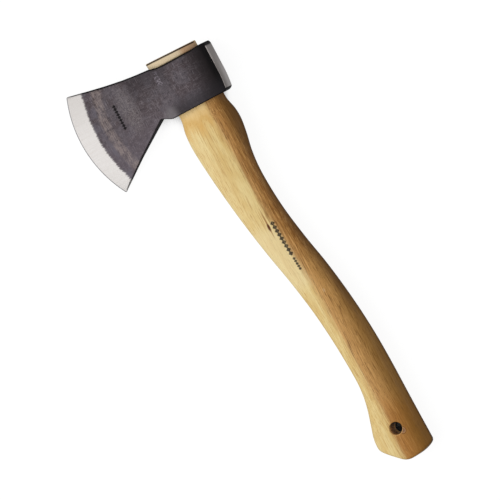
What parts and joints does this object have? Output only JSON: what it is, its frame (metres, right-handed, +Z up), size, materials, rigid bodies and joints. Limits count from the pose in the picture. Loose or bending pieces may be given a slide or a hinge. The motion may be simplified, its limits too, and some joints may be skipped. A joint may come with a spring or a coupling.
{
  "type": "hatchet",
  "caption": "Forged steel hatchet head with a flared, ground bit and a flat poll, wedged onto a curved hickory haft with a lanyard hole in its swell.",
  "frame": {"origin": "middle of the hatchet's box, on the surface that it lies on", "axes": "+X down the haft from the head to its end, +Y from the cutting edge towards the poll, +Z up from the surface, across the thickness of the tool; the tool is rolled by its natural resting angle of about 8.5 degrees, so its poll is higher than its edge"},
  "size_m": [0.3956, 0.144, 0.0341],
  "materials": {
    "forged_steel": "satin",
    "hickory": "satin",
    "wedge_wood": "matte",
    "wedge_steel": "satin"
  },
  "bodies": {
    "root": {"axe_head": "forged_steel", "haft": "hickory", "wooden_wedge": "wedge_wood", "steel_wedge": "wedge_steel"}
  },
  "joints": []
}
